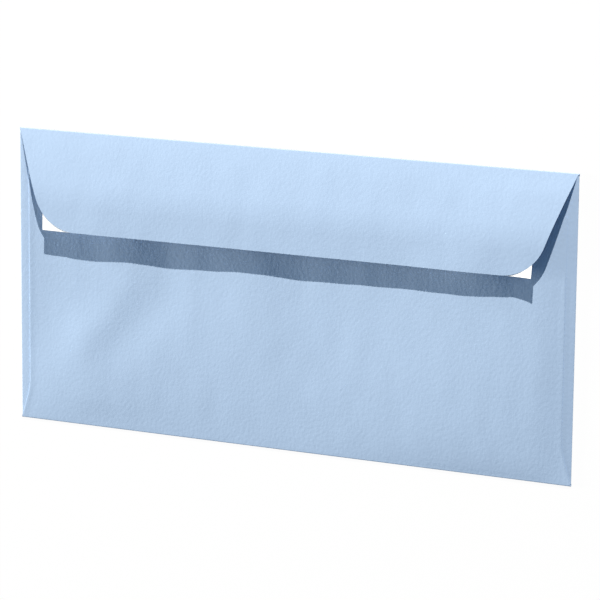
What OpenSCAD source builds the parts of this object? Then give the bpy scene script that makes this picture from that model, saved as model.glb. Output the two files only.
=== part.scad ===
// Wallet envelope for a sheet folded in three, with a peel-and-seal flap standing ajar.
// It lies on its front panel: +Z points up out of the back panel, +Y towards the top fold.
// The origin is on the surface that it lies on, below the middle of its outline.

/* [Envelope] */
// Width across the two side folds
envelope_w = 220; // [150:1:330]
// Height from the bottom fold to the top fold
envelope_h = 110; // [95:1:240]

/* [Paper] */
// Thickness of the paper
paper_t = 0.16; // [0.1:0.01:0.3]
// Inside radius of the two side folds
side_fold_r = 0.15; // [0.1:0.01:0.4]

/* [Side flaps] */
// Width of each side flap, folded in below the back panel
side_flap_w = 22; // [14:1:34]
// Distance of a side flap's ends from the top and bottom folds, at its own fold
side_flap_inset = 2; // [1:0.5:6]
// Slant of the two ends of a side flap
side_flap_slant = 15; // [5:1:30]
// Radius of the two free corners of a side flap
side_flap_corner_r = 4; // [1:0.5:6]

/* [Back panel] */
// Distance from the top fold down to the open edge of the pocket
throat_drop = 15; // [13:1:25]
// Rise of the slack back panel at the middle of the pocket's open edge
throat_rise = 0.6; // [0.2:0.1:2.6]
// Width of the side flap that stays bare beside the back panel
bare_strip_w = 3.6; // [1:0.1:8]
// Height over which the back panel widens to meet the bottom corners
foot_h = 12.4; // [6:0.1:24]
// Radius that eases the seam into the widening foot
foot_ease_r = 25; // [5:1:40]

/* [Seal flap] */
// Depth of the flap, measured along the paper
flap_d = 36.3; // [28:0.1:50]
// Step in from each side of the envelope to the side of the flap, at the top fold
flap_shoulder = 0.3; // [0.1:0.1:2]
// How far each side of the flap slants in on the way to its lower edge
flap_side_taper = 13.8; // [6:0.1:24]
// Radius of the flap's two corners
flap_corner_r = 17.2; // [6:0.1:20]
// Angle at which the flap stands off the envelope where it leaves the top fold
flap_lift = 17.5; // [15.5:0.1:50]
// Angle of the curl that fades out between the top fold and the bend
flap_curl = 5; // [1:0.1:7]
// Angle of the soft bend at the upper edge of the strips, which stiffen the flap below it
flap_bend = 8; // [1:0.1:10]
// Length of paper in the bend
bend_l = 10; // [4:0.5:14]

/* [Closure] */
// Width of the strip of adhesive
adhesive_w = 10; // [5:0.5:15]
// Thickness of the strip of adhesive
adhesive_t = 0.05; // [0.03:0.01:0.15]
// Distance of the adhesive's ends from the rounded sides of the flap
adhesive_end_gap = 2; // [1:0.5:10]
// Width of liner that shows above and below the adhesive
liner_border = 2; // [0.5:0.5:5]
// How far the liner's ends reach past the flap's sides, taken at its lower edge
liner_overhang = 0.5; // [0.2:0.1:6]
// How far to the right of the middle the adhesive and its liner were laid
strips_shift = -0.6; // [-0.9:0.1:0.9]
// Thickness of the release liner
liner_t = 0.09; // [0.05:0.01:0.2]

/* [Hidden] */

// Flat steps along a fold, along the flap, round a corner and across the slack back panel
fold_steps = 12;
flap_steps = 18;
corner_steps = 12;
slack_steps = 32;
// Spare length of a blank before its outline is cut
trim = 2;

half_w = envelope_w / 2;
half_h = envelope_h / 2;

// Heights of the layers at a side fold: front panel, gap, side flap, back panel
side_fold_outer_r = side_fold_r + paper_t;
side_flap_top = 2 * side_fold_outer_r;
back_top = side_flap_top + paper_t;

// The top and bottom folds wrap the same stack of layers
long_fold_outer_r = back_top / 2;
long_fold_r = long_fold_outer_r - paper_t;
panel_half_h = half_h - long_fold_outer_r;

// The seam starts to ease outwards above the foot, at the foot's height plus a tangent of the arc
seam_x = half_w - bare_strip_w;
foot_slant = atan(bare_strip_w / (foot_h - long_fold_outer_r));
foot_top_y = foot_h - half_h + foot_ease_r * tan(foot_slant / 2);

// The flap's outer face, point by point along the paper from the top fold to past its lower edge
top_fold_centre = [panel_half_h, long_fold_outer_r];
liner_w = adhesive_w + 2 * liner_border;
bend_start = flap_d - liner_w - bend_l / 2;
flap_step = flap_d / flap_steps;
flap_face = [
    for (
        i = 0, at = top_fold_centre + long_fold_outer_r * outward(0);
        i <= flap_steps + 1;
        at = at + flap_step * downward((i + 0.5) * flap_step), i = i + 1
    )
        at
];

flap_edge_y = flap_y(flap_d);
flap_edge_half_w = half_w - flap_shoulder - flap_side_taper;
liner_half_l = flap_edge_half_w + liner_overhang;
adhesive_edge_y = flap_y(flap_d - liner_border);

function direction(angle) = [cos(angle), sin(angle)];
function arc(centre, r, from, to, steps) =
    [for (i = [0 : steps]) centre + r * direction(from + (to - from) * i / steps)];
function reversed(points) = [for (i = [len(points) - 1 : -1 : 0]) points[i]];
function mirrored(points) = [for (p = reversed(points)) [-p.x, p.y]];

// Angle of the flap to the back panel at this length along the paper from the top fold
function flap_slope(along) =
    let (
        curled = 1 - pow(1 - min(along / bend_start, 1), 2),
        bent = min(max((along - bend_start) / bend_l, 0), 1)
    )
    flap_lift - flap_curl * curled - flap_bend * bent;
function outward(along) = direction(90 - flap_slope(along));
function downward(along) = direction(180 - flap_slope(along));
function flap_y(along) = lookup(along, [for (i = [0 : flap_steps]) [i * flap_step, flap_face[i].x]]);
function flap_layer(depth) = [for (i = [0 : flap_steps + 1]) flap_face[i] - depth * outward(i * flap_step)];

// Arc of radius r that rounds the corner b of an outline that runs a, b, c
function rounded_corner(a, b, c, r) =
    let (
        to_a = (a - b) / norm(a - b),
        to_c = (c - b) / norm(c - b),
        half_angle = acos(to_a * to_c) / 2,
        middle = (to_a + to_c) / norm(to_a + to_c),
        centre = b + middle * r / sin(half_angle),
        start = b + to_a * r / tan(half_angle) - centre,
        from = atan2(start.y, start.x),
        turn = (180 - 2 * half_angle) * sign(cross(b - a, c - b))
    )
    arc(centre, r, from, from + turn, corner_steps);

// Right side of the flap's outline, from the top fold down to the middle of its lower edge
flap_side =
    let (
        top = [half_w - flap_shoulder, panel_half_h],
        corner = [flap_edge_half_w, flap_edge_y],
        bottom = [0, flap_edge_y]
    )
    concat(
        [[half_w, half_h + trim], [half_w, panel_half_h], top],
        rounded_corner(top, corner, bottom, flap_corner_r)
    );

// Half the flap's width where its rounded side passes the lower edge of the adhesive
flap_half_w_at_adhesive =
    max([for (i = [1 : len(flap_side) - 1])
        let (a = flap_side[i - 1], b = flap_side[i])
        if (a.y >= adhesive_edge_y && b.y <= adhesive_edge_y && a.y > b.y)
            b.x + (a.x - b.x) * (adhesive_edge_y - b.y) / (a.y - b.y)]);

// Draws a section with its width along Y and its height along Z, and carries it across the envelope
module across(width) {
    rotate([90, 0, 90])
        linear_extrude(height = width, center = true)
            children();
}

// Draws a section with its width along X and its height along Z, and carries it up the envelope
module along(length) {
    rotate([90, 0, 0])
        linear_extrude(height = length, center = true)
            children();
}

// Keeps what lies above or below an outline that is drawn looking down
module cut_to_outline() {
    intersection() {
        children(0);
        translate([0, 0, -trim])
            linear_extrude(height = flap_d + 2 * trim)
                children(1);
    }
}

module front_panel() {
    corner_h = side_flap_inset - long_fold_outer_r;
    linear_extrude(height = paper_t) {
        square([envelope_w - 2 * side_fold_outer_r, 2 * panel_half_h], center = true);
        for (side = [-1, 1])
            translate([0, side * (panel_half_h - corner_h / 2)])
                square([envelope_w, corner_h], center = true);
    }
}

// Side fold on the right with the flap that it carries, lying over the front panel
module side_flap() {
    centre = [half_w - side_fold_outer_r, side_fold_outer_r];
    inner_x = half_w - side_flap_w;
    end_y = half_h - side_flap_inset;
    free_end_y = end_y - (side_flap_w - side_fold_outer_r) * tan(side_flap_slant);
    upper_end = concat(
        [[half_w + trim, end_y], [centre.x, end_y]],
        rounded_corner([centre.x, end_y], [inner_x, free_end_y], [inner_x, 0], side_flap_corner_r)
    );
    cut_to_outline() {
        along(envelope_h)
            polygon(concat(
                arc(centre, side_fold_outer_r, -90, 90, fold_steps),
                [[inner_x, side_flap_top], [inner_x, side_flap_top - paper_t]],
                arc(centre, side_fold_r, 90, -90, fold_steps)
            ));
        polygon(concat(upper_end, [for (p = reversed(upper_end)) [p.x, -p.y]]));
    }
}

// Bottom fold and the foot of the back panel, which narrows from the corners to the side seams
module back_foot() {
    centre = [-panel_half_h, long_fold_outer_r];
    corner = [half_w, -panel_half_h];
    right_side = concat(
        [[half_w, -half_h - trim], corner],
        rounded_corner(corner, [seam_x, foot_h - half_h], [seam_x, 0], foot_ease_r)
    );
    cut_to_outline() {
        across(envelope_w)
            polygon(concat(
                arc(centre, long_fold_outer_r, 270, 90, fold_steps),
                [[foot_top_y, back_top], [foot_top_y, back_top - paper_t]],
                arc(centre, long_fold_r, 90, 270, fold_steps)
            ));
        polygon(concat(right_side, mirrored(right_side)));
    }
}

// Back panel above its foot: straight at the foot, arched between the side flaps at the open edge
module back_panel() {
    free_x = half_w - side_flap_w;
    columns = concat([-seam_x], [for (i = [0 : slack_steps]) free_x * (2 * i / slack_steps - 1)], [seam_x]);
    count = len(columns);
    // Four rows of points: lower face at the foot and at the open edge, then the upper face
    points = [
        for (face = [0, 1], edge = [0, 1], x = columns)
            [
                x,
                edge == 0 ? foot_top_y : half_h - throat_drop,
                side_flap_top + face * paper_t + edge * slack(x / free_x)
            ]
    ];
    under = [for (i = [0 : count - 2]) each quad(i, i + 1, i + 1 + count, i + count)];
    over = [for (i = [0 : count - 2]) each quad(i + 2 * count, i + 3 * count, i + 1 + 3 * count, i + 1 + 2 * count)];
    foot_edge = [for (i = [0 : count - 2]) each quad(i, i + 2 * count, i + 1 + 2 * count, i + 1)];
    open_edge = [for (i = [count : 2 * count - 2]) each quad(i, i + 1, i + 1 + 2 * count, i + 2 * count)];
    sides = [for (i = [0, count - 1]) each (i == 0
        ? quad(i, i + count, i + 3 * count, i + 2 * count)
        : quad(i, i + 2 * count, i + 3 * count, i + count))];
    polyhedron(points, concat(under, over, foot_edge, open_edge, sides));
}

// Height of the arched open edge, from 1 at its middle down to nothing over the side flaps
function slack(share) = abs(share) < 1 ? throat_rise * (1 + cos(180 * share)) / 2 : 0;
function quad(a, b, c, d) = [[a, b, c], [a, c, d]];

// Layer of the flap's section, from one depth below its outer face to another
module flap_section(from_depth, to_depth) {
    across(envelope_w)
        polygon(concat(flap_layer(from_depth), reversed(flap_layer(to_depth))));
}

// Top fold and the flap
module seal_flap() {
    cut_to_outline() {
        across(envelope_w)
            polygon(concat(
                arc(top_fold_centre, long_fold_outer_r, -90, 90 - flap_lift, fold_steps),
                flap_layer(0),
                reversed(flap_layer(paper_t)),
                arc(top_fold_centre, long_fold_r, 90 - flap_lift, -90, fold_steps)
            ));
        polygon(concat(flap_side, mirrored(flap_side)));
    }
}

// One sheet, folded on four lines and glued down its two side seams
module envelope() {
    color("#b8d0ec") {
        front_panel();
        side_flap();
        mirror([1, 0, 0])
            side_flap();
        back_foot();
        back_panel();
        seal_flap();
    }
}

// Strip across the inside of the flap, between its lower edge and this length back along the flap
module flap_strip(half_length, lower_y, upper_y) {
    translate([strips_shift - half_length, lower_y])
        square([2 * half_length, upper_y - lower_y]);
}

// Adhesive on the inside of the flap
module seal_adhesive() {
    color("#e9e4d2")
        cut_to_outline() {
            flap_section(paper_t, paper_t + adhesive_t);
            flap_strip(
                flap_half_w_at_adhesive - adhesive_end_gap,
                adhesive_edge_y,
                flap_y(flap_d - liner_border - adhesive_w)
            );
        }
}

// Peel-off strip over the adhesive, level with the flap's lower edge
module release_liner() {
    depth = paper_t + adhesive_t;
    color("#fafbfb")
        cut_to_outline() {
            flap_section(depth, depth + liner_t);
            flap_strip(liner_half_l, flap_edge_y, flap_y(flap_d - liner_w));
        }
}

envelope();
seal_adhesive();
release_liner();
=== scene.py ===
import math

import bmesh
import bpy
from mathutils import Matrix, Vector, noise


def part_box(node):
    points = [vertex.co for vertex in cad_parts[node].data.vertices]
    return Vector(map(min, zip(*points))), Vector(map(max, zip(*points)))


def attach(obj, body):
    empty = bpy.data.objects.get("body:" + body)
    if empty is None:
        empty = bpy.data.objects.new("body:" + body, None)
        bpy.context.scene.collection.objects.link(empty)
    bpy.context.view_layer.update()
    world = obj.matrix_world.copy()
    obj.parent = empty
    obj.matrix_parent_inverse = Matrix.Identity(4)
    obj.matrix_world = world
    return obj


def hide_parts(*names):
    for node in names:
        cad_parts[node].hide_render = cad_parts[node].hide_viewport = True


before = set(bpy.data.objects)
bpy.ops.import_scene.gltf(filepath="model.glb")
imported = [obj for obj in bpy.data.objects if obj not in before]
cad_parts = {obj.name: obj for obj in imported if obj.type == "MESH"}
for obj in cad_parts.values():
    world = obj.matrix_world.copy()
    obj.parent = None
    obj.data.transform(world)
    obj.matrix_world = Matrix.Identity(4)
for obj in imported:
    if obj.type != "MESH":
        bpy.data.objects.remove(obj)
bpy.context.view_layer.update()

# Lengths on the paper are in millimetres, and lamps and camera are placed in metres.
# +X runs along the top fold, +Y up the envelope, +Z out of the back panel.
mm = 0.001


# The frame's own sizes

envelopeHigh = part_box("envelope")[1]
linerLow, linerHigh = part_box("release_liner")
halfWidth = envelopeHigh.x / mm
halfHeight = envelopeHigh.y / mm


# The sheet of paper

sheet = {
    "paper": 0.16,     # thickness of the sheet
    "sideFold": 0.31,  # outer radius of the two side folds
    "longFold": 0.39,  # outer radius of the top and bottom folds
    "column": 1.8,     # width of the mesh's columns away from the sides
    "row": 1.5,        # height of its rows up the back panel
    "topFoldRows": 12,
    "frontRows": 30,
    "bottomFoldRows": 14,
    "sideFoldColumns": 12,
    "still": 60,       # columns this near the middle stay put where the outline narrows
    "sharpAngle": 40,  # degrees, from which an edge of the mesh is shaded sharp
}
# Columns close to the sides, by their distance from the widest side
sideColumns = [0, 0.1, sheet["sideFold"], 0.45, 0.6, 0.8, 1, 1.3, 1.7, 2.4, 3.4]
panelTop = halfHeight - sheet["longFold"]
backLevel = 2 * sheet["longFold"]


# Curves that the paper follows

def ease(value, start, end):
    # Goes softly from 0 to 1 as the value goes from start to end
    share = min(max((value - start) / (end - start), 0), 1)
    return share * share * (3 - 2 * share)


def steps(start, end, count):
    return [start + (end - start) * i / count for i in range(count + 1)]


def ofSide(pair, across):
    # The left or the right one of two values
    return pair[0] if across < 0 else pair[1]


def swell(swells, across, up):
    # Soft hills and hollows that give slack paper its unevenness
    height = 0
    for place, spread, lean, rise in swells:
        offUp = up - place[1]
        offAcross = across - place[0] - lean * offUp
        height += rise * math.exp(-(offAcross / spread[0]) ** 2 - (offUp / spread[1]) ** 2)
    return height


cockle = {
    "across": 7,  # width of the paper's faint unevenness
    "along": 12,
    "height": 0.09,
    "flap": 0.5,  # two places in the noise, so that flap and back panel differ
    "backPanel": 3.5,
}


def cockled(across, along, piece):
    place = (across / cockle["across"], along / cockle["along"], cockle[piece])
    return cockle["height"] * noise.noise(place)


# The camera stands to the right of the envelope and a little above its middle

camera = {
    "place": (0.4792, 0.2287, 0.9998),
    "aim": (0.00513, 0.00097, 0.00035),
    "roll": 0.554,  # degrees
    "lens": 189.4,
    "sensor": 36,
}


def makeCamera():
    data = bpy.data.cameras.new("camera")
    data.lens = camera["lens"]
    data.sensor_width = camera["sensor"]
    holder = bpy.data.objects.new("camera", data)
    bpy.context.scene.collection.objects.link(holder)
    place = Vector(camera["place"])
    forward = (Vector(camera["aim"]) - place).normalized()
    level = forward.cross(Vector((0, 1, 0))).normalized()
    roll = math.radians(camera["roll"])
    right = level * math.cos(roll) + level.cross(forward) * math.sin(roll)
    up = right.cross(forward)
    turned = Matrix((right, up, -forward)).transposed().to_4x4()
    holder.matrix_world = Matrix.Translation(place) @ turned
    bpy.context.scene.camera = holder


makeCamera()
print("camera placed")


# The seal flap: where it lies, for the sheet and for the strips below it

flap = {
    "depth": 36.9,     # along the paper, from the top fold to the lower edge
    "shoulder": 0.25,  # step in from the side of the envelope, at the top fold
    "shift": 0.15,     # the cut sits this far to the right
    "taper": 13.8,     # how far each side slants in
    "cornerRadius": 17.2,
    "lift": 19,        # degrees off the back panel at the top fold
    "curl": 6,         # degrees lost between the fold and the bend
    "bend": 12,        # degrees lost where the strips begin to stiffen the paper
    "bendLength": 10,
    "strips": 14,      # width of the liner
    "firstRow": 0.3,   # the mesh's first row lies this far below the fold
    "rows": 20,        # down its slanted sides
    "cornerRows": 22,
    "wavesFull": 8,    # distance from the fold at which its waves are full
    # Place (across, down the flap), spread (across, down), lean, rise
    "swells": [
        ((-76, 38), (16, 11), 0, 0.3),
        ((98, 12), (24, 14), 0, 0.5),
        ((71, 38), (16, 13), 0, 0.75),
    ],
}
flapStep = 0.25  # the flap's curve is worked out in straight steps of this length


def flapSlope(along):
    bendStart = flap["depth"] - flap["strips"] - flap["bendLength"] / 2
    curled = 1 - (1 - min(along / bendStart, 1)) ** 2
    bent = min(max((along - bendStart) / flap["bendLength"], 0), 1)
    return math.radians(flap["lift"] - flap["curl"] * curled - flap["bend"] * bent)


def flapSection():
    # The outer face, point by point down from the top fold
    slope = flapSlope(0)
    y = panelTop + sheet["longFold"] * math.sin(slope)
    z = sheet["longFold"] + sheet["longFold"] * math.cos(slope)
    points = [(y, z)]
    for i in range(int(flap["depth"] / flapStep) + 2):
        slope = flapSlope((i + 0.5) * flapStep)
        y -= flapStep * math.cos(slope)
        z += flapStep * math.sin(slope)
        points.append((y, z))
    return points


flapLine = flapSection()


def flapPoint(across, along, depth=0):
    # A point this far below the outer face of the flap
    i = min(int(along / flapStep), len(flapLine) - 2)
    share = along / flapStep - i
    y = flapLine[i][0] * (1 - share) + flapLine[i + 1][0] * share
    z = flapLine[i][1] * (1 - share) + flapLine[i + 1][1] * share
    slope = flapSlope(along)
    free = ease(along, 0, flap["wavesFull"])
    z += free * (swell(flap["swells"], across, along) + cockled(across, along, "flap"))
    return (across + free * flap["shift"], y - depth * math.sin(slope), z - depth * math.cos(slope))


def flapRows():
    # Rows down the flap as (distance, half width), the last ones round its two corners
    top = halfWidth - flap["shoulder"]
    radius = flap["cornerRadius"]
    slant = math.atan2(flap["taper"], flap["depth"])
    centreDown = flap["depth"] - radius
    centreAcross = top - (radius + math.sin(slant) * centreDown) / math.cos(slant)
    cornerStart = centreDown + radius * math.sin(slant)
    rows = [(along, top - math.tan(slant) * along)
            for along in steps(flap["firstRow"], cornerStart, flap["rows"])]
    for angle in steps(slant, math.pi / 2, flap["cornerRows"])[1:]:
        down = centreDown + radius * math.sin(angle)
        rows.append((down, centreAcross + radius * math.cos(angle)))
    return rows


# The back panel: slack paper between its two glued sides.
# Heights start at the middle of the envelope and distances at its sides, unless a note says otherwise.

backPanel = {
    "throat": 15,                      # from the top fold down to the open edge
    "strip": 3.6,                      # side flap left bare beside it
    "foot": 12.4,                      # height over which it widens to the bottom corners
    "footEase": 25,                    # radius that eases the seam into the foot
    "footRows": 8,                     # rows of the mesh up the foot, and along that radius
    "easeRows": 6,
    "pillow": 0.9,                     # how far the slack paper springs up from the bottom fold
    "pillowFoot": 17,                  # length over which it does so
    "pillowSettle": 0.8,               # how far it sinks again towards the open edge
    "settleHeights": (-40, 10),        # heights between which it does
    # Left and right: where it stops lying on the side flap and where it is slack, from the middle
    "slack": ((98, 52), (104, 62)),
    "slackSpread": 40,                 # near the foot the left one ends this much further inwards
    "spreadDepths": (10, 45),          # starting and ending this far below the middle
    # Left and right: height to which the side flap's fold lifts it, and where that starts and ends
    "spring": ((0.5, 0, 14), (1.4, -6, 16)),
    # Left and right: the lift further up, and the heights where the change starts and ends
    "settled": ((-0.28, -45, -5), (1.1, -20, 12)),
    "springFoot": 8,                   # length over which it starts at the bottom fold
    "springFades": (20, 110),          # distances between which it fades out
    "ridge": (0.1, 0.045),             # left and right: height of the cut edge, proud of the glue
    "ridgeAt": 0.3,                    # its distance from the edge
    "ridgeEnd": 2.6,
    "ridgeFoot": 2,                    # length over which it starts at the bottom fold
    # Place (across, up the envelope), spread (across, up), lean, rise
    "swells": [
        ((-14, 8), (10, 14), 0, 0.4),
        ((-10, -10), (17, 14), 0, 0.35),
        ((5, 12), (6, 10), 0, -0.2),
        ((40, 8), (10, 18), 0, -0.1),
        ((74, 30), (14, 13), 0, 2.2),
        ((-82, -31), (30, 20), 0, 0.8),
    ],
    "crease": ((-58, 5), (-84, -42)),  # ends of the line that it dips to the right of
    "creaseHeight": 0.75,
    "creaseWidth": 13,
    "creaseStarts": (-42, -14),        # heights between which it starts
    "wavesStart": (-56, -44),          # heights between which swells, cockle and crease start
    "wavesEnd": (82, 104),             # distances from the middle between which they end
}


def footShare(up, foot):
    return 1 - math.exp(-max(up + panelTop, 0) / backPanel[foot])


def sideLift(across, up):
    # The spring of a side fold holds its flap and the panel on it off the front
    height, start, end = ofSide(backPanel["spring"], across)
    settled, settleStart, settleEnd = ofSide(backPanel["settled"], across)
    height += (settled - height) * ease(up, settleStart, settleEnd)
    gap = halfWidth - abs(across)
    fading = 1 - ease(gap, *backPanel["springFades"])
    return height * ease(gap, start, end) * fading * footShare(up, "springFoot")


def slackRise(across, up):
    # The slack paper springs up from the bottom fold and sinks again towards the open edge
    rise = backPanel["pillow"] * footShare(up, "pillowFoot")
    rise -= backPanel["pillowSettle"] * ease(up, *backPanel["settleHeights"])
    start, end = ofSide(backPanel["slack"], across)
    if across < 0:
        end -= backPanel["slackSpread"] * ease(-up, *backPanel["spreadDepths"])
    return rise * (1 - ease(abs(across), end, start))


def creaseStep(across, up):
    # The shallow slanting crease in the left half
    (topAcross, topUp), (footAcross, footUp) = backPanel["crease"]
    line = topAcross + (footAcross - topAcross) * ease(-up, -topUp, -footUp)
    off = (across - line) / backPanel["creaseWidth"]
    step = backPanel["creaseHeight"] * off * math.exp(-off * off)
    return step * ease(up, *backPanel["creaseStarts"])


def ridgeRise(across, up, reach):
    # The cut edge of the panel stands a little proud of the glue
    gap = reach - abs(across)
    peak = backPanel["ridgeAt"]
    shape = ease(gap, 0, peak) * (1 - ease(gap, peak, backPanel["ridgeEnd"]))
    start = ease(up, -panelTop, backPanel["ridgeFoot"] - panelTop)
    return ofSide(backPanel["ridge"], across) * shape * start


def backPoint(across, up, reach):
    # A point of the outer face; reach is the panel's half width at this height
    waves = swell(backPanel["swells"], across, up) + cockled(across, up, "backPanel")
    waves = (waves - creaseStep(across, up)) * ease(up, *backPanel["wavesStart"])
    waves *= 1 - ease(abs(across), *backPanel["wavesEnd"])
    z = backLevel + sideLift(across, up) + slackRise(across, up) + waves
    z += ridgeRise(across, up, reach)
    return (across, up, z)


def backRows():
    # Rows up the back panel as (height, half width), from the bottom fold to the open edge
    seam = halfWidth - backPanel["strip"]
    radius = backPanel["footEase"]
    slant = math.atan2(backPanel["strip"], backPanel["foot"] - sheet["longFold"])
    tangent = radius * math.tan(slant / 2)
    corner = backPanel["foot"] - halfHeight
    easeTop = corner + tangent
    easeFoot = corner - tangent * math.cos(slant)
    rows = [(up, halfWidth - (up + panelTop) * math.tan(slant))
            for up in steps(-panelTop, easeFoot, backPanel["footRows"])[1:]]
    for angle in steps(slant, 0, backPanel["easeRows"])[1:]:
        across = seam + radius * (1 - math.cos(angle))
        rows.append((easeTop - radius * math.sin(angle), across))
    throat = halfHeight - backPanel["throat"]
    count = round((throat - easeTop) / sheet["row"])
    return rows + [(up, seam) for up in steps(easeTop, throat, count)[1:]]


# One continuous sheet: its outer face as a mesh, thickened inwards

sideFlap = {
    "width": 22,
    "inset": 0.8,  # its ends start this far from the top and bottom folds
    "slant": 15,   # degrees
    "cornerRadius": 4,
    "columns": 8,  # across it, and then over the corners at its free edge
    "cornerColumns": 8,
    "sag": 0.02,   # its free edge drops this far
    "sagFrom": 6,  # starting this far from the fold
}


def mirroredColumns():
    inner = halfWidth - sideColumns[-1]
    count = round(inner / sheet["column"])
    right = steps(0, inner, count)[1:] + [halfWidth - gap for gap in reversed(sideColumns[:-1])]
    return [-x for x in reversed(right)] + [0] + right


def squeezed(across, reach):
    distance = abs(across)
    if distance > sheet["still"]:
        share = (distance - sheet["still"]) / (halfWidth - sheet["still"])
        distance = sheet["still"] + share * (reach - sheet["still"])
    return math.copysign(distance, across)


def foldPoint(across, centre, angle):
    radius = sheet["longFold"]
    return (across, centre + radius * math.cos(angle), radius + radius * math.sin(angle))


def sheetRows(columns):
    # Every row of the long strip, from the flap's lower edge round to the open edge of the pocket
    rows = []
    for along, reach in reversed(flapRows()):
        rows.append([flapPoint(squeezed(x, reach), along) for x in columns])
    lift = math.radians(flap["lift"])
    for angle in steps(math.pi / 2 - lift, -math.pi / 2, sheet["topFoldRows"]):
        rows.append([foldPoint(x, panelTop, angle) for x in columns])
    sideFoldEnd = halfHeight - sideFlap["inset"]
    frontStart = len(rows)
    for y in steps(sideFoldEnd, -sideFoldEnd, sheet["frontRows"]):
        rows.append([(x, y, 0) for x in columns])
    frontEnd = len(rows) - 1
    for angle in steps(-math.pi / 2, -math.pi * 3 / 2, sheet["bottomFoldRows"]):
        rows.append([foldPoint(x, -panelTop, angle) for x in columns])
    for up, reach in backRows():
        rows.append([backPoint(squeezed(x, reach), up, reach) for x in columns])
    return rows, frontStart, frontEnd


def sideFlapHalf(across):
    # Half the length of a side flap this far across
    radius = sideFlap["cornerRadius"]
    slant = math.radians(sideFlap["slant"])
    foldX = halfWidth - sheet["sideFold"]
    freeX = halfWidth - sideFlap["width"]
    end = halfHeight - sideFlap["inset"]
    line = end - (foldX - across) * math.tan(slant)
    centreX = freeX + radius
    centreY = end - (foldX - centreX) * math.tan(slant) - radius / math.cos(slant)
    if across < centreX - radius * math.sin(slant):
        return centreY + math.sqrt(max(radius ** 2 - (across - centreX) ** 2, 0))
    return line


def sideFlapColumns():
    # Points of one side flap's section as (across, level), from the front panel round and inwards
    radius = sheet["sideFold"]
    foldX = halfWidth - radius
    freeX = halfWidth - sideFlap["width"]
    points = [(foldX + radius * math.sin(angle), radius - radius * math.cos(angle))
              for angle in steps(0, math.pi, sheet["sideFoldColumns"])[1:]]
    inner = steps(foldX, freeX + sideFlap["cornerRadius"], sideFlap["columns"])[1:]
    inner += [freeX + sideFlap["cornerRadius"] * (1 - math.sin(angle))
              for angle in steps(0, math.pi / 2, sideFlap["cornerColumns"])[1:]]
    for x in inner:
        sag = sideFlap["sag"] * ease(foldX - x, sideFlap["sagFrom"], sideFlap["width"])
        points.append((x, 2 * radius - sag))
    return points


def thickened(name, mesh, thickness):
    # Gives a face its thickness on its inner side and returns the finished piece
    piece = bpy.data.objects.new(name, mesh)
    bpy.context.scene.collection.objects.link(piece)
    solid = piece.modifiers.new("thickness", "SOLIDIFY")
    solid.thickness = thickness * mm
    solid.offset = -1
    solid.use_even_offset = True
    evaluated = piece.evaluated_get(bpy.context.evaluated_depsgraph_get())
    finished = bpy.data.meshes.new_from_object(evaluated)
    piece.modifiers.clear()
    piece.data = finished
    finished.name = name
    finished.shade_smooth()
    finished.set_sharp_from_angle(angle=math.radians(sheet["sharpAngle"]))
    return piece


def addSideFlap(shape, side, edge):
    # Grows a side flap out of these points along the front panel's edge, column by column
    section = sideFlapColumns()
    whole = halfHeight - sideFlap["inset"]
    last = edge
    for across, level in section:
        narrowed = sideFlapHalf(min(across, halfWidth - sheet["sideFold"])) / whole
        share = min(level / section[-1][1], 1)
        new = []
        for start in edge:
            up = start.co.y / mm * narrowed
            lifted = level + sideLift(side * across, up) * share
            new.append(shape.verts.new(Vector((side * across, up, lifted)) * mm))
        for i in range(len(new) - 1):
            loop = [last[i], new[i], new[i + 1], last[i + 1]]
            shape.faces.new(loop if side < 0 else loop[::-1])
        last = new


def makeEnvelope():
    shape = bmesh.new()
    columns = mirroredColumns()
    rows, frontStart, frontEnd = sheetRows(columns)
    lastColumn = len(columns) - 1
    foldColumn = sideColumns.index(sheet["sideFold"])

    def holds(row, column):
        # Beside the side folds the front panel ends at the fold, and elsewhere it is full width
        if not frontStart < row < frontEnd:
            return True
        return foldColumn <= column <= lastColumn - foldColumn

    points = {}
    for row, places in enumerate(rows):
        for column, place in enumerate(places):
            if holds(row, column):
                points[row, column] = shape.verts.new(Vector(place) * mm)
    for row in range(len(rows) - 1):
        for column in range(lastColumn):
            corners = [(row, column), (row + 1, column), (row + 1, column + 1), (row, column + 1)]
            if all(corner in points for corner in corners):
                shape.faces.new([points[corner] for corner in corners])
    for side, column in ((-1, foldColumn), (1, lastColumn - foldColumn)):
        addSideFlap(shape, side, [points[row, column] for row in range(frontStart, frontEnd + 1)])
    bmesh.ops.recalc_face_normals(shape, faces=shape.faces)
    mesh = bpy.data.meshes.new("envelopeSheet")
    shape.to_mesh(mesh)
    shape.free()
    return thickened("envelopeSheet", mesh, sheet["paper"])


envelopeSheet = makeEnvelope()
print("envelope folded:", len(envelopeSheet.data.polygons), "faces")


# The peel-off strip: release liner over a strip of adhesive

strip = {
    "adhesiveWidth": 10,
    "adhesiveThickness": 0.05,
    "adhesiveEnds": 6.3,  # the adhesive stops this far short of the liner's ends
    "border": 2,          # liner left bare above and below the adhesive
    "linerThickness": 0.09,
    "longerLeft": 0.4,    # the liner's left end reaches this far past the frame's own
    "droop": 0.06,        # how far its free corners hang
    "droopFrom": 26,      # from the envelope's side, between these distances
    "droopTo": 13,
    "curl": 1.1,          # how far its right-hand corner bends up past the flap's
    "curlAcross": 10,     # size of that corner
    "curlDown": 9,
    "curlStart": 0.2,     # share of it that stays flat
    "curlPower": 1.5,     # over 1 it bends more and more towards the tip
    "columns": 110,
    "rows": 12,
}


def cornerCurl(gap, along):
    # 0 under the flap, growing to 1 at the corner; gap is the distance from the cut end
    past = 1 - gap / strip["curlAcross"] - (flap["depth"] - along) / strip["curlDown"]
    start = strip["curlStart"]
    return max((past - start) / (1 - start), 0) ** strip["curlPower"]


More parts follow.
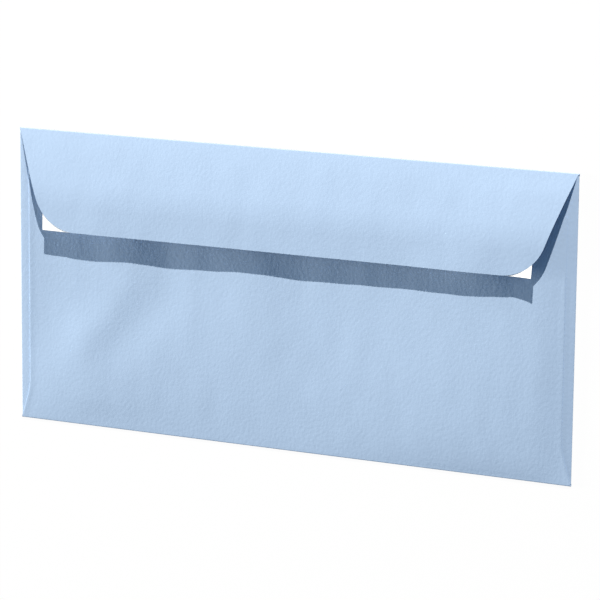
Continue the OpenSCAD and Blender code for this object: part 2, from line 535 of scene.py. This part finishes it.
def makeStrip(name, ends, edges, depth, thickness, droop=0, curl=0):
    # A strip that follows the inside of the flap at this depth below its outer face
    shape = bmesh.new()
    grid = []
    for along in steps(*edges, strip["rows"]):
        line = []
        for across in steps(*ends, strip["columns"]):
            x, y, z = flapPoint(across, along, depth)
            loose = ease(abs(across), halfWidth - strip["droopFrom"], halfWidth - strip["droopTo"])
            z += curl * cornerCurl(ends[1] - across, along) - droop * loose
            line.append(shape.verts.new(Vector((x, y, z)) * mm))
        grid.append(line)
    for i in range(strip["rows"]):
        for j in range(strip["columns"]):
            shape.faces.new([grid[i][j], grid[i + 1][j], grid[i + 1][j + 1], grid[i][j + 1]])
    mesh = bpy.data.meshes.new(name)
    shape.to_mesh(mesh)
    shape.free()
    return thickened(name, mesh, thickness)


def makeStrips():
    left = linerLow.x / mm - strip["longerLeft"]
    right = linerHigh.x / mm
    lower = flap["depth"]
    linerDepth = sheet["paper"] + strip["adhesiveThickness"]
    liner = makeStrip("linerStrip", (left, right), (lower - flap["strips"], lower),
                      linerDepth, strip["linerThickness"], strip["droop"], strip["curl"])
    inset = strip["adhesiveEnds"]
    lower -= strip["border"]
    adhesive = makeStrip("adhesiveStrip", (left + inset, right - inset),
                         (lower - strip["adhesiveWidth"], lower),
                         sheet["paper"], strip["adhesiveThickness"])
    return liner, adhesive


linerStrip, adhesiveStrip = makeStrips()
print("strips laid under the flap")


# Paper and adhesive finishes

def newMaterial(name):
    material = bpy.data.materials.new(name)
    material.use_nodes = True
    nodes = material.node_tree.nodes
    return material, nodes, material.node_tree.links, nodes["Principled BSDF"]


def grain(nodes, links, sizes, detail, wander=0):
    # Noise whose lumps have these sizes across, up and out, in millimetres
    where = nodes.new("ShaderNodeTexCoord")
    scaled = nodes.new("ShaderNodeMapping")
    scaled.inputs["Scale"].default_value = [1 / (size * mm) for size in sizes]
    lumps = nodes.new("ShaderNodeTexNoise")
    lumps.inputs["Scale"].default_value = 1
    lumps.inputs["Detail"].default_value = detail
    lumps.inputs["Distortion"].default_value = wander
    links.new(where.outputs["Object"], scaled.inputs["Vector"])
    links.new(scaled.outputs["Vector"], lumps.inputs["Vector"])
    return lumps.outputs["Fac"]


def blendOf(nodes, links, values, shares):
    # Sum of several textures, each times its share
    total = None
    for value, share in zip(values, shares):
        step = nodes.new("ShaderNodeMath")
        step.operation = "MULTIPLY_ADD"
        links.new(value, step.inputs[0])
        step.inputs[1].default_value = share
        if total is None:
            step.inputs[2].default_value = 0
        else:
            links.new(total, step.inputs[2])
        total = step.outputs[0]
    return total


grainEnds = (0.25, 0.75)  # nearly all of a texture's values lie between these


def tinted(nodes, links, value, colour, spread):
    # The colour, darker by this share where the texture is low and lighter where it is high
    ramp = nodes.new("ShaderNodeValToRGB")
    for stop, place, level in zip(ramp.color_ramp.elements, grainEnds, (1 - spread, 1 + spread)):
        stop.position = place
        stop.color = [c * level for c in colour] + [1]
    links.new(value, ramp.inputs["Fac"])
    return ramp.outputs["Color"]


def bump(nodes, links, value, height, shader):
    # Raises the surface by this height, in millimetres, where the texture is 1
    relief = nodes.new("ShaderNodeBump")
    relief.inputs["Strength"].default_value = 1
    relief.inputs["Distance"].default_value = height * mm
    links.new(value, relief.inputs["Height"])
    links.new(relief.outputs["Normal"], shader.inputs["Normal"])


bluePaper = {
    "colour": (0.43, 0.565, 0.745),
    "mottle": 0.025,              # share by which the colour wanders: the pulp's own tone, and through the felt, painted shade in the grain's hollows
    "roughness": 0.78,
    "diffuseRoughness": 0.5,
    "relief": 0.07,               # height of the felt grain
    "felt": (1.2, 1.4, 1.3),      # sizes of the lumps that the felt leaves
    "fibres": (0.35, 0.5, 0.5),
    "clouds": (9, 12, 12),        # sizes of the clouds in the pulp
    "shares": (0.5, 0.25, 0.25),  # of clouds, felt and fibres in the colour; the felt's share is painted shade in its hollows
}


def bluePaperMaterial():
    material, nodes, links, shader = newMaterial("bluePaper")
    felt = grain(nodes, links, bluePaper["felt"], detail=1)
    fibres = grain(nodes, links, bluePaper["fibres"], detail=2)
    clouds = grain(nodes, links, bluePaper["clouds"], detail=3)
    # Clouds and fibres give the pulp's own tone. The felt's share darkens the colour where the felt
    # bump is low, which is painted shade in its hollows.
    shade = blendOf(nodes, links, (clouds, felt, fibres), bluePaper["shares"])
    colour = tinted(nodes, links, shade, bluePaper["colour"], bluePaper["mottle"])
    links.new(colour, shader.inputs["Base Color"])
    shader.inputs["Roughness"].default_value = bluePaper["roughness"]
    shader.inputs["Diffuse Roughness"].default_value = bluePaper["diffuseRoughness"]
    shader.inputs["Specular IOR Level"].default_value = 0
    bump(nodes, links, felt, bluePaper["relief"], shader)
    return material


linerPaper = {
    "colour": (0.95, 0.955, 0.96),
    "mottle": 0.008,
    "roughness": 0.5,
    "relief": 0.004,       # height of the fibres
    "fibres": (0.5, 1.2, 1),
    "clouds": (9, 6, 6),
    "shares": (0.4, 0.6),  # of fibres and clouds in the colour
}


def linerPaperMaterial():
    material, nodes, links, shader = newMaterial("linerPaper")
    fibres = grain(nodes, links, linerPaper["fibres"], detail=3)
    clouds = grain(nodes, links, linerPaper["clouds"], detail=2)
    shade = blendOf(nodes, links, (fibres, clouds), linerPaper["shares"])
    colour = tinted(nodes, links, shade, linerPaper["colour"], linerPaper["mottle"])
    links.new(colour, shader.inputs["Base Color"])
    shader.inputs["Roughness"].default_value = linerPaper["roughness"]
    bump(nodes, links, fibres, linerPaper["relief"], shader)
    return material


adhesiveFilm = {
    "colour": (0.81, 0.78, 0.65),
    "mottle": 0.04,
    "roughness": 0.35,
    "relief": 0.01,
    "drag": (6, 0.5, 1),  # sizes of the streaks left by spreading it
    "wander": 0.4,        # how far they stray from straight
}


def adhesiveMaterial():
    material, nodes, links, shader = newMaterial("adhesiveFilm")
    drag = grain(nodes, links, adhesiveFilm["drag"], detail=2, wander=adhesiveFilm["wander"])
    colour = tinted(nodes, links, drag, adhesiveFilm["colour"], adhesiveFilm["mottle"])
    links.new(colour, shader.inputs["Base Color"])
    shader.inputs["Roughness"].default_value = adhesiveFilm["roughness"]
    bump(nodes, links, drag, adhesiveFilm["relief"], shader)
    return material


def dress(piece, material, node):
    piece.data.materials.clear()
    piece.data.materials.append(material)
    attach(piece, "root")
    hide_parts(node)


dress(envelopeSheet, bluePaperMaterial(), "envelope")
dress(linerStrip, linerPaperMaterial(), "release_liner")
dress(adhesiveStrip, adhesiveMaterial(), "seal_adhesive")
print("papers finished")


# White floor, white surroundings and two lamps

studio = {
    "floorSize": 6,
    "floorBelow": 0.00002,              # the floor lies this far below the paper
    "floorColour": (0.9, 0.9, 0.9),
    "floorRoughness": 0.9,
    "floorGlow": 0.955,                 # share of plain white that the camera sees on the floor
    "ambient": (0.52, 0.75, 1),         # light from all around
    "ambientStrength": 0.275,
    "lampAim": (0, 0, 0),               # both lamps point at the middle of the envelope
    "keyPlace": (0.306, 1.462, 0.839),  # hard lamp beyond the top fold
    "keyPower": 166,
    "keyColour": (1, 0.92, 0.83),
    "keyRadius": 0.012,
    "keyAngle": 100,                    # degrees across the beam
    "fillPlace": (-1.5, 0, 0.21),       # softer lamp, low on the left
    "fillSize": 0.22,
    "fillPower": 49,
    "fillColour": (1, 0.94, 0.86),
}


def glowing(nodes, links, strength):
    # White for what looks straight at it or sees it mirrored
    path = nodes.new("ShaderNodeLightPath")
    seen = nodes.new("ShaderNodeMath")
    seen.operation = "MAXIMUM"
    either = nodes.new("ShaderNodeMath")
    either.operation = "MAXIMUM"
    links.new(path.outputs["Is Camera Ray"], seen.inputs[0])
    links.new(path.outputs["Is Glossy Ray"], seen.inputs[1])
    links.new(seen.outputs[0], either.inputs[0])
    links.new(path.outputs["Is Transmission Ray"], either.inputs[1])
    share = nodes.new("ShaderNodeMath")
    share.operation = "MULTIPLY"
    share.inputs[1].default_value = strength
    links.new(either.outputs[0], share.inputs[0])
    return share.outputs[0]


def makeFloor():
    size = studio["floorSize"] / 2
    mesh = bpy.data.meshes.new("floor")
    level = -studio["floorBelow"]
    corners = [(-size, -size, level), (size, -size, level), (size, size, level), (-size, size, level)]
    mesh.from_pydata(corners, [], [(0, 1, 2, 3)])
    floor = bpy.data.objects.new("floor", mesh)
    bpy.context.scene.collection.objects.link(floor)
    material, nodes, links, shader = newMaterial("whiteFloor")
    shader.inputs["Base Color"].default_value = (*studio["floorColour"], 1)
    shader.inputs["Roughness"].default_value = studio["floorRoughness"]
    shader.inputs["Specular IOR Level"].default_value = 0
    white = nodes.new("ShaderNodeEmission")
    white.inputs["Strength"].default_value = 1
    mixed = nodes.new("ShaderNodeMixShader")
    links.new(glowing(nodes, links, studio["floorGlow"]), mixed.inputs["Fac"])
    links.new(shader.outputs["BSDF"], mixed.inputs[1])
    links.new(white.outputs["Emission"], mixed.inputs[2])
    links.new(mixed.outputs["Shader"], nodes["Material Output"].inputs["Surface"])
    mesh.materials.append(material)


def makeWorld():
    world = bpy.data.worlds.new("white surroundings")
    bpy.context.scene.world = world
    world.use_nodes = True
    nodes, links = world.node_tree.nodes, world.node_tree.links
    dim = nodes["Background"]
    dim.inputs["Color"].default_value = (*studio["ambient"], 1)
    dim.inputs["Strength"].default_value = studio["ambientStrength"]
    white = nodes.new("ShaderNodeBackground")
    white.inputs["Color"].default_value = (1, 1, 1, 1)
    white.inputs["Strength"].default_value = 1
    mixed = nodes.new("ShaderNodeMixShader")
    links.new(glowing(nodes, links, 1), mixed.inputs["Fac"])
    links.new(dim.outputs["Background"], mixed.inputs[1])
    links.new(white.outputs["Background"], mixed.inputs[2])
    links.new(mixed.outputs["Shader"], nodes["World Output"].inputs["Surface"])


def placeLamp(name, data, place):
    lamp = bpy.data.objects.new(name, data)
    bpy.context.scene.collection.objects.link(lamp)
    lamp.location = place
    beam = Vector(studio["lampAim"]) - Vector(place)
    lamp.rotation_euler = beam.to_track_quat("-Z", "Y").to_euler()


def makeLamps():
    key = bpy.data.lights.new("key lamp", "SPOT")
    key.energy = studio["keyPower"]
    key.color = studio["keyColour"]
    key.shadow_soft_size = studio["keyRadius"]
    key.spot_size = math.radians(studio["keyAngle"])
    key.spot_blend = 1  # the beam fades from its middle outwards
    placeLamp("key lamp", key, studio["keyPlace"])
    fill = bpy.data.lights.new("fill lamp", "AREA")
    fill.energy = studio["fillPower"]
    fill.color = studio["fillColour"]
    fill.size = studio["fillSize"]
    placeLamp("fill lamp", fill, studio["fillPlace"])


makeFloor()
makeWorld()
makeLamps()
bpy.context.scene.view_settings.view_transform = "Standard"
print("floor, surroundings and lamps in place")
